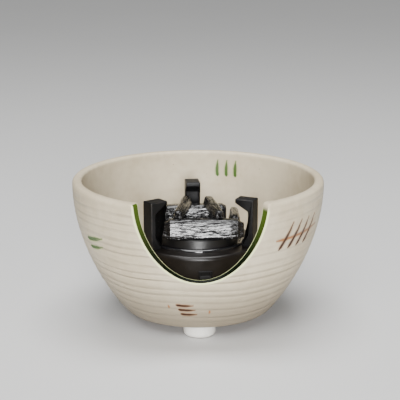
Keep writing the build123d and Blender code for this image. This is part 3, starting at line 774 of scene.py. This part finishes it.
def charcoal_grid(start, end, width, height, seed, depth, slants, knots=()):
    """A log's grid and its places along and around, for the bark.

    The section is an eight-sided outline, softened. It swells in the middle and is moved along its own
    direction by ridges, 1 - |noise|, that run lengthwise, and by rings round each knot. The ends round
    over in a quarter circle, or in a facet where they slant far, and close in a rough, slightly hollow face.
    """
    start, end = np.array(start, float), np.array(end, float)
    way = end - start
    length = np.linalg.norm(way)
    way /= length
    across, up = np.cross(way, (0, 0, 1)), np.array([0.0, 0.0, 1.0])
    around = np.linspace(0, 1, 144, endpoint=False)
    corners = np.vstack([bark_corners, bark_corners[:1]]) * (width, height)
    outline, _ = even(corners, 145)
    outline = np.stack([soften(outline[:-1, axis], 2.0) for axis in (0, 1)], -1)
    body = np.linspace(0, 1, 150)
    swell = 1 - 0.14 * (2 * body - 0.9) ** 4
    along = body[:, None] * length + 0 * around
    turn = around + 0.012 * np.sin(along / 13.0 + seed)
    ridges = (0.6 * np.abs(lattice_noise(along / 26.0, turn, 22, seed))
              + 0.4 * np.abs(lattice_noise(along / 15.0, turn, 41, seed + 1))
              + 0.25 * np.abs(lattice_noise(along / 6.0, turn, 70, seed + 2)))
    lumps = lattice_noise(along / 17.0, turn, 5, seed + 3)
    lift = depth * (1.3 * (0.42 - ridges) + 0.5 * lumps)
    for knot_along, knot_turn, size in knots:
        beside = (np.mod(around - knot_turn + 0.5, 1) - 0.5) * girth * (width + height)
        gap = np.hypot(along - knot_along, beside)
        lift = lift + depth * np.exp(-(gap / size) ** 2) * (0.9 + 0.8 * np.cos(gap * 5.2 / size))
    rows = outline[None] * np.stack([swell, 0.5 + 0.5 * swell], -1)[:, None]
    outward = rows / np.linalg.norm(rows, axis=2)[..., None]
    rows = rows + outward * lift[..., None]
    grid = start + along[..., None] * way + rows[..., :1] * across + rows[..., 1:] * up
    ends = []
    for row, sign, slant in ((0, -1, slants[0]), (-1, 1, slants[1])):
        bend = np.linspace(0, pi / 2, 7)[1:]
        inset, fall, reach = 2.4, 1 - np.cos(bend), np.sin(bend)
        if slant > 4.5:
            inset, fall, reach = 0.42 * slant, bend * 2 / pi, bend * 2 / pi
        flat = np.linspace(1, 0.12, 9)[1:]
        level = np.linalg.norm(rows[row], axis=1)
        shrink = np.concatenate([level - inset * fall[:, None], (level - inset) * flat[:, None]])
        cracks = 0.5 * np.abs(lattice_noise(0 * around + 1.0, around, 17, seed + 7 + row))
        push = np.concatenate([slant * reach, np.full(8, slant)])[:, None] - slant
        push = push - np.concatenate([np.zeros(6), 0.9 * np.sin(flat * pi) + 0.3])[:, None] * cracks * 1.6
        centre = grid[row].mean(axis=0)
        direction = outward[row]
        ring = (centre + (direction[None, :, :1] * across + direction[None, :, 1:] * up) * shrink[..., None]
                + way * sign * push[..., None])
        ends.append((ring, centre - way * sign * 0.5))
    kept = (along[:, 0] > slants[0]) & (along[:, 0] < length - slants[1])
    first, last = ends
    whole = np.concatenate([first[0][::-1], grid[kept], last[0]])
    return whole, first[1], last[1], around, length


class FURO_OT_make_charcoal(bpy.types.Operator):
    """Build the pieces of moulded charcoal, with their bark and knots"""
    bl_idname = "furo.make_charcoal"
    bl_label = "Charcoal"

    def execute(self, context):
        settings = context.scene.furo_heater
        material, tree, shader = start_material("Charcoal glaze")
        bark = use_group(tree, "Bark", {"Place": mark_value(tree, "bark_place", "Vector")})
        colour, smooth = settings.charcoal_colour, settings.charcoal_roughness
        # Painted shade: the colour is darker in the bark's grooves, which are also rougher
        tone = mixed(bark["Groove"], rgba(colour), rgba(colour, 0.4))
        roughness = ramp(bark["Groove"], 0.0, 1.0, smooth, smooth + 0.2)
        shine = (1.0 - bark["Soot"] * 0.85) * 0.5
        finish_material(shader, tone, roughness, bark["Height"], 0.0003, coat_roughness=0.1,
                        specular_ior_level=shine, coat_weight=shine)
        for seed, (name, knots) in enumerate((
            ("charcoal_front", ((27.0, 0.05, 3.4), (58.0, 0.86, 2.8))),
            ("charcoal_back", ((44.0, 0.5, 3.0),)),
            ("charcoal_left", ()), ("charcoal_right", ((24.0, 0.3, 2.4),)),
            ("charcoal_top_left", ()), ("charcoal_top_right", ()),
        )):
            start, end, width, height, slants = log_sizes()[name]
            grid, first, last, around, length = charcoal_grid(
                start, end, width, height, 11 + 10 * seed, settings.bark_depth, slants, knots)
            way = (np.array(end, float) - start) / length
            along = (grid - start) @ way
            place = np.stack([along, np.broadcast_to(around * girth * (width + height), along.shape),
                              np.full(along.shape, 40.0 * seed)], -1) * 0.001
            surface(name + "_bark", grid, material, "heater", (name,),
                    first_pole=first, last_pole=last, marks={"bark_place": place})
        return {"FINISHED"}


def log_sizes():
    """Where each log lies: its start and end, its width and height, and how far each end slants back."""
    low, tall = bed_top + 10.5, bed_top + 25.75
    return {
        "charcoal_front": ((-42.47, -31, low), (48.04, -31, low), 20, 21, (11.5, 5.8)),
        "charcoal_back": ((32, 31, low), (-38, 31, low), 20, 21, (4.0, 4.0)),
        "charcoal_left": ((-40, 20.2, low), (-40, -20.2, low), 14, 21, (2.4, 1.2)),
        "charcoal_right": ((40, 20.2, low), (40, -20.2, low), 14, 21, (2.4, 1.2)),
        "charcoal_top_left": ((-11.8, 33, tall), (-22.2, -33, tall), 13, 9.5, (2.4, 2.4)),
        "charcoal_top_right": ((11.8, 33, tall), (22.2, -33, tall), 13, 9.5, (2.4, 2.4)),
    }


# Claws

def claw_outline():
    """The claw's side view, distance from the axis and height, evenly spaced, with softened corners."""
    toe_top = drum_top + 7.0
    corners = np.array([
        (54.0, drum_top), (63.6, drum_top), (66.8, drum_top + 6.0), (66.8, claw_top), (46.0, claw_top),
        (46.0, claw_top - 4.5), (60.8, claw_top - 13.0), (60.8, toe_top + 6.8), (54.0, toe_top),
        (54.0, drum_top)])
    line, _ = even(corners, 321)
    return np.stack([soften(line[:-1, axis], 1.6) for axis in (0, 1)], -1)


class FURO_OT_make_claws(bpy.types.Operator):
    """Build the three iron claws that carry a kettle"""
    bl_idname = "furo.make_claws"
    bl_label = "Claws"

    def execute(self, context):
        settings = context.scene.furo_heater
        material, tree, shader = start_material("Claw iron")
        place = object_place(tree)
        skin = use_group(tree, "Fine grain", {"Place": place, "Scale": 620.0})
        tone = mixed(skin["Uneven"], rgba(settings.iron_colour, 0.8), rgba(settings.iron_colour, 1.25))
        worn = mark_value(tree, "edge") * ramp(noise(place, 160.0), 0.42, 0.66)
        tone = mixed(worn * 0.55, tone, (0.06, 0.05, 0.045, 1.0))
        roughness = ramp(skin["Uneven"], 0.0, 1.0, 0.34, 0.5) - worn * 0.12
        finish_material(shader, tone, roughness, skin["Height"], 0.00012, specular_ior_level=0.3)
        outline = claw_outline()
        tangent = np.roll(outline, -1, axis=0) - np.roll(outline, 1, axis=0)
        tangent /= np.linalg.norm(tangent, axis=1)[:, None]
        outward = np.stack([tangent[:, 1], -tangent[:, 0]], -1)
        bevel = settings.claw_edge_round
        turn = np.linspace(0, pi / 2, 6)
        half = claw_width / 2
        middle = np.linspace(half - bevel, bevel - half, 8)[1:-1]
        offset = np.concatenate([half - bevel + bevel * np.cos(turn), middle,
                                 -(half - bevel + bevel * np.cos(turn[::-1]))])
        inset = bevel * np.concatenate([1 - np.sin(turn), 0 * middle, 1 - np.sin(turn[::-1])])
        worn_edge = np.concatenate([np.sin(2 * turn), 0 * middle, np.sin(2 * turn[::-1])])
        for name, azimuth in (("trivet_left", -60), ("trivet_right", 60), ("trivet_back", 180)):
            angle = radians(azimuth + heater_turn)
            out, side = np.array([sin(angle), -cos(angle), 0]), np.array([cos(angle), sin(angle), 0])
            line = outline[None] - outward[None] * inset[:, None, None]
            grid = (line[..., :1] * out + line[..., 1:] * np.array([0, 0, 1.0])
                    + offset[:, None, None] * side)[::-1]
            surface(name + "_casting", grid, material, "heater", (name,), flat_ends=True,
                    marks={"edge": np.broadcast_to(worn_edge[:, None], grid.shape[:2])})
        return {"FINISHED"}


class FURO_OT_finish_heater(bpy.types.Operator):
    """Give the drum, dish, bed, element, switch and inner parts their finishes"""
    bl_idname = "furo.finish_heater"
    bl_label = "Heater finishes"

    def execute(self, context):
        settings = context.scene.furo_heater
        dress(plain_finish("Drum paint", settings.paint_colour, settings.paint_roughness, 900.0, 0.00002,
                           0.05, 0.12, specular_ior_level=0.35), "heater_drum")
        dress(plain_finish("Plated steel", (0.55, 0.54, 0.52), 0.34, 1400.0, 0.00001, metallic=1.0),
              "base_plate", "base_screws", "deck_pillars", "deck_plate", "trivet_screws")
        dress(plain_finish("Foot rubber", (0.02, 0.02, 0.02), 0.75, 900.0), "base_feet", "cord_inlet")
        dress(plain_finish("Mineral board", (0.62, 0.6, 0.55), 0.9, 350.0, 0.0001), "insulation_disc")
        dress(plain_finish("Dish enamel", settings.dish_colour, 0.16, 260.0, 0.00003, 0.05, 0.1,
                           coat_weight=0.3, coat_roughness=0.08), "heat_dish")
        dress(plain_finish("Bed clay", settings.bed_colour, 0.42, 300.0, 0.0001, 0.06, 0.1,
                           specular_ior_level=0.4), "charcoal_bed")
        dress(plain_finish("Element sheath", (0.09, 0.075, 0.062), 0.42, 1200.0, 0.00001, 0.08, 0.1,
                           metallic=0.9), "heating_element")
        dress(plain_finish("Porcelain", (0.82, 0.8, 0.75), 0.22, 300.0), "terminal_block", "thermal_cutout")
        dress(plain_finish("Lead sleeve", (0.7, 0.68, 0.62), 0.8, 2600.0, 0.00012), "lead_wires")
        dress(plain_finish("Switch plastic", (0.006, 0.006, 0.0065), 0.45, 1500.0, 0.00002, 0.04,
                           specular_ior_level=0.2), "switch_bezel", "switch_body")
        dress(plain_finish("Rocker plastic", (0.006, 0.006, 0.0065), 0.5, 1500.0, 0.00001, 0.03,
                           specular_ior_level=0.15), "switch_rocker")
        return {"FINISHED"}


# Stage

def area_light(name, place, target, size, power):
    """A rectangular soft white light at a place, in metres, turned to a target."""
    lamp = bpy.data.lights.new(name, "AREA")
    lamp.shape = "RECTANGLE"
    lamp.size, lamp.size_y = size
    lamp.energy = power
    piece = bpy.data.objects.new(name, lamp)
    piece.location = place
    way = Vector(target) - Vector(place)
    piece.rotation_euler = way.to_track_quat("-Z", "Y").to_euler()
    bpy.context.scene.collection.objects.link(piece)


class FURO_OT_make_stage(bpy.types.Operator):
    """Lay the floor, hang the lights and set the camera"""
    bl_idname = "furo.make_stage"
    bl_label = "Stage"

    def execute(self, context):
        settings = context.scene.furo_stage
        material, tree, shader = start_material("Pale floor")
        colour = settings.floor_colour
        tone = mixed(noise(object_place(tree), 3.0), rgba(colour), rgba(colour, 0.97))
        finish_material(shader, tone, 0.7)
        mesh = bpy.data.meshes.new("floor")
        reach = 14.0
        mesh.from_pydata([(-reach, -reach, 0), (reach, -reach, 0), (reach, reach, 0), (-reach, reach, 0)], [],
                         [(0, 1, 2, 3)])
        mesh.materials.append(material)
        floor = bpy.data.objects.new("floor", mesh)
        context.scene.collection.objects.link(floor)
        world = bpy.data.worlds.new("Studio")
        world.use_nodes = True
        join(world.node_tree.nodes["Background"],
             {"Color": (1, 1, 1, 1), "Strength": settings.world_strength})
        context.scene.world = world
        sun = bpy.data.lights.new("Key light", "SUN")
        sun.energy, sun.angle = settings.key_strength, settings.key_spread
        key = bpy.data.objects.new("Key light", sun)
        key.rotation_euler = (radians(90) - settings.key_height, 0.0, settings.key_turn)
        context.scene.collection.objects.link(key)
        area_light("Front light", (0.03, -1.65, 0.42), (0, 0, 0.11), (0.45, 0.5), settings.front_power)
        area_light("Side light", (1.5, -1.2, 1.1), (0, 0, 0.08), (0.7, 0.7), settings.side_power)
        area_light("Top light", (0.0, 0.1, 1.9), (0, 0.05, 0), (1.2, 1.0), settings.top_power)
        camera = bpy.data.cameras.new("Camera")
        camera.lens, camera.sensor_width = 111.47, 36.0
        camera.clip_start, camera.clip_end = 0.05, 60.0
        eye = bpy.data.objects.new("Camera", camera)
        eye.location = (-0.0295, -1.2998, 0.4738)
        eye.rotation_euler = (radians(90 - 14.79), 0.0, radians(-1.3925))
        context.scene.collection.objects.link(eye)
        context.scene.camera = eye
        return {"FINISHED"}


def colour_property(name, description, default):
    """A colour that a user may change."""
    return FloatVectorProperty(name=name, description=description, default=default, subtype="COLOR",
                               size=3, min=0.0, max=1.0)


def number_property(name, description, default, low, high):
    """A number that a user may change between two limits."""
    return FloatProperty(name=name, description=description, default=default, min=low, max=high)


def angle_property(name, description, degrees, low, high):
    """An angle that a user may change between two limits, in radians."""
    return FloatProperty(name=name, description=description, default=radians(degrees), min=low, max=high,
                         subtype="ANGLE", unit="ROTATION")


def power_property(name, description, default):
    """The power of a lamp, in watts, that a user may change."""
    return FloatProperty(name=name, description=description, default=default, min=0.0, subtype="POWER",
                         unit="POWER")


class BowlSettings(bpy.types.PropertyGroup):
    ring_depth: number_property("Ring depth", "How far the throwing rings stand out, in mm", 0.48, 0.0, 1.0)
    ring_spacing: number_property("Ring spacing", "Distance between throwing rings, in mm", 8.6, 2.0, 30.0)
    edge_round: number_property("Window edge round", "Rounding of the window's edges, in mm", 1.3, 0.2, 4.0)
    corner_softness: number_property("Corner softness", "Blur of the corners between rim and window, in mm",
                                     2.6, 0.5, 12.0)
    glaze_colour: colour_property("Glaze", "Thick glaze", (0.59, 0.515, 0.378))
    thin_colour: colour_property("Thin glaze", "Glaze where it is thin", (0.50, 0.422, 0.295))
    # Colour of the painted shade on the lower outer wall
    painted_belly_shade_colour: colour_property("Painted belly shade", "Painted shade on the glaze, darker towards the foot",
                                (0.27, 0.225, 0.16))
    foot_colour: colour_property("Foot glaze", "Glaze of the feet", (0.78, 0.76, 0.70))
    clay_colour: colour_property("Clay", "Bare clay", (0.30, 0.20, 0.13))
    iron_colour: colour_property("Iron brown", "Brushed iron lines and specks", (0.035, 0.010, 0.003))
    faint_colour: colour_property("Rust", "Thin rust lines, and the tint beside the iron lines",
                                  (0.30, 0.13, 0.045))
    green_halo_colour: colour_property("Pale green", "The tint beside the green lines", (0.36, 0.42, 0.17))
    green_colour: colour_property("Copper green", "Brushed green lines", (0.045, 0.10, 0.014))
    cut_colour: colour_property("Cut face, top", "Glaze on the window's cut face near the rim",
                                (0.055, 0.095, 0.010))
    # Low colour of the cut face: partly the green glaze, partly painted shade
    cut_foot_glaze_and_shade_colour: colour_property("Cut face, foot", "Glaze low on the window's cut face, darkened by painted shade",
                                    (0.003, 0.006, 0.0015))
    edge_colour: colour_property("Edge line", "Thin glaze that breaks pale along the window's edge",
                                 (0.76, 0.80, 0.42))


class HeaterSettings(bpy.types.PropertyGroup):
    paint_colour: colour_property("Drum paint", "Satin paint of the drum", (0.006, 0.0045, 0.0037))
    paint_roughness: number_property("Drum gloss", "Roughness of the drum's paint", 0.36, 0.05, 1.0)
    dish_colour: colour_property("Dish enamel", "Black enamel of the dish", (0.008, 0.008, 0.009))
    bed_colour: colour_property("Bed clay", "Fired clay of the bed", (0.007, 0.0065, 0.0065))
    charcoal_colour: colour_property("Charcoal", "Glaze of the charcoal", (0.006, 0.0055, 0.006))
    charcoal_roughness: number_property("Charcoal gloss", "Roughness of the charcoal's glaze", 0.1, 0.02, 1.0)
    bark_depth: number_property("Bark depth", "Depth of the charcoal's ridges, in mm", 0.4, 0.0, 4.0)
    iron_colour: colour_property("Claw iron", "Black iron of the claws", (0.007, 0.007, 0.0075))
    claw_edge_round: number_property("Claw edge round", "Rounding of the claws' edges, in mm", 1.2, 0.2, 4.0)


class StageSettings(bpy.types.PropertyGroup):
    floor_colour: colour_property("Floor", "Colour of the floor", (0.60, 0.60, 0.595))
    world_strength: number_property("Room light", "Light from all around", 0.03, 0.0, 10.0)
    key_strength: number_property("Key light", "Strength of the broad light from the front", 2.5, 0.0, 100.0)
    key_spread: angle_property("Key spread", "Width of the key light, as an angle", 36, 0.0, pi)
    key_height: angle_property("Key height", "Angle of the key light above the floor", 50, 0.0, pi / 2)
    key_turn: angle_property("Key turn", "Turn of the key light to the left of the front", -14, -pi, pi)
    front_power: power_property("Front light", "Box light that the charcoal mirrors", 40.0)
    side_power: power_property("Side light", "Light at the right", 0.5)
    top_power: power_property("Top light", "Light over the bowl", 44.0)


class FURO_PT_panel(bpy.types.Panel):
    """Pieces and settings of the brazier"""
    bl_idname = "FURO_PT_panel"
    bl_label = "Furo Brazier"
    bl_space_type = "VIEW_3D"
    bl_region_type = "UI"
    bl_category = "Furo"

    def draw(self, context):
        for operator in piece_operators:
            self.layout.operator(operator.bl_idname)
        for group in ("furo_bowl", "furo_heater", "furo_stage"):
            settings = getattr(context.scene, group)
            box = self.layout.box()
            for name in settings.__annotations__:
                box.prop(settings, name)


piece_operators = (FURO_OT_make_bowl, FURO_OT_make_feet, FURO_OT_make_charcoal, FURO_OT_make_claws,
                   FURO_OT_finish_heater, FURO_OT_make_stage)
classes = (BowlSettings, HeaterSettings, StageSettings, *piece_operators, FURO_PT_panel)


def register():
    for item in classes:
        bpy.utils.register_class(item)
    bpy.types.Scene.furo_bowl = PointerProperty(type=BowlSettings)
    bpy.types.Scene.furo_heater = PointerProperty(type=HeaterSettings)
    bpy.types.Scene.furo_stage = PointerProperty(type=StageSettings)


def unregister():
    del bpy.types.Scene.furo_bowl, bpy.types.Scene.furo_heater, bpy.types.Scene.furo_stage
    for item in reversed(classes):
        bpy.utils.unregister_class(item)


def main():
    """Make every piece."""
    register()
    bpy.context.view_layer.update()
    bpy.ops.furo.make_bowl()
    bpy.ops.furo.make_feet()
    bpy.ops.furo.make_charcoal()
    bpy.ops.furo.make_claws()
    bpy.ops.furo.finish_heater()
    bpy.ops.furo.make_stage()


if __name__ == "__main__":
    main()
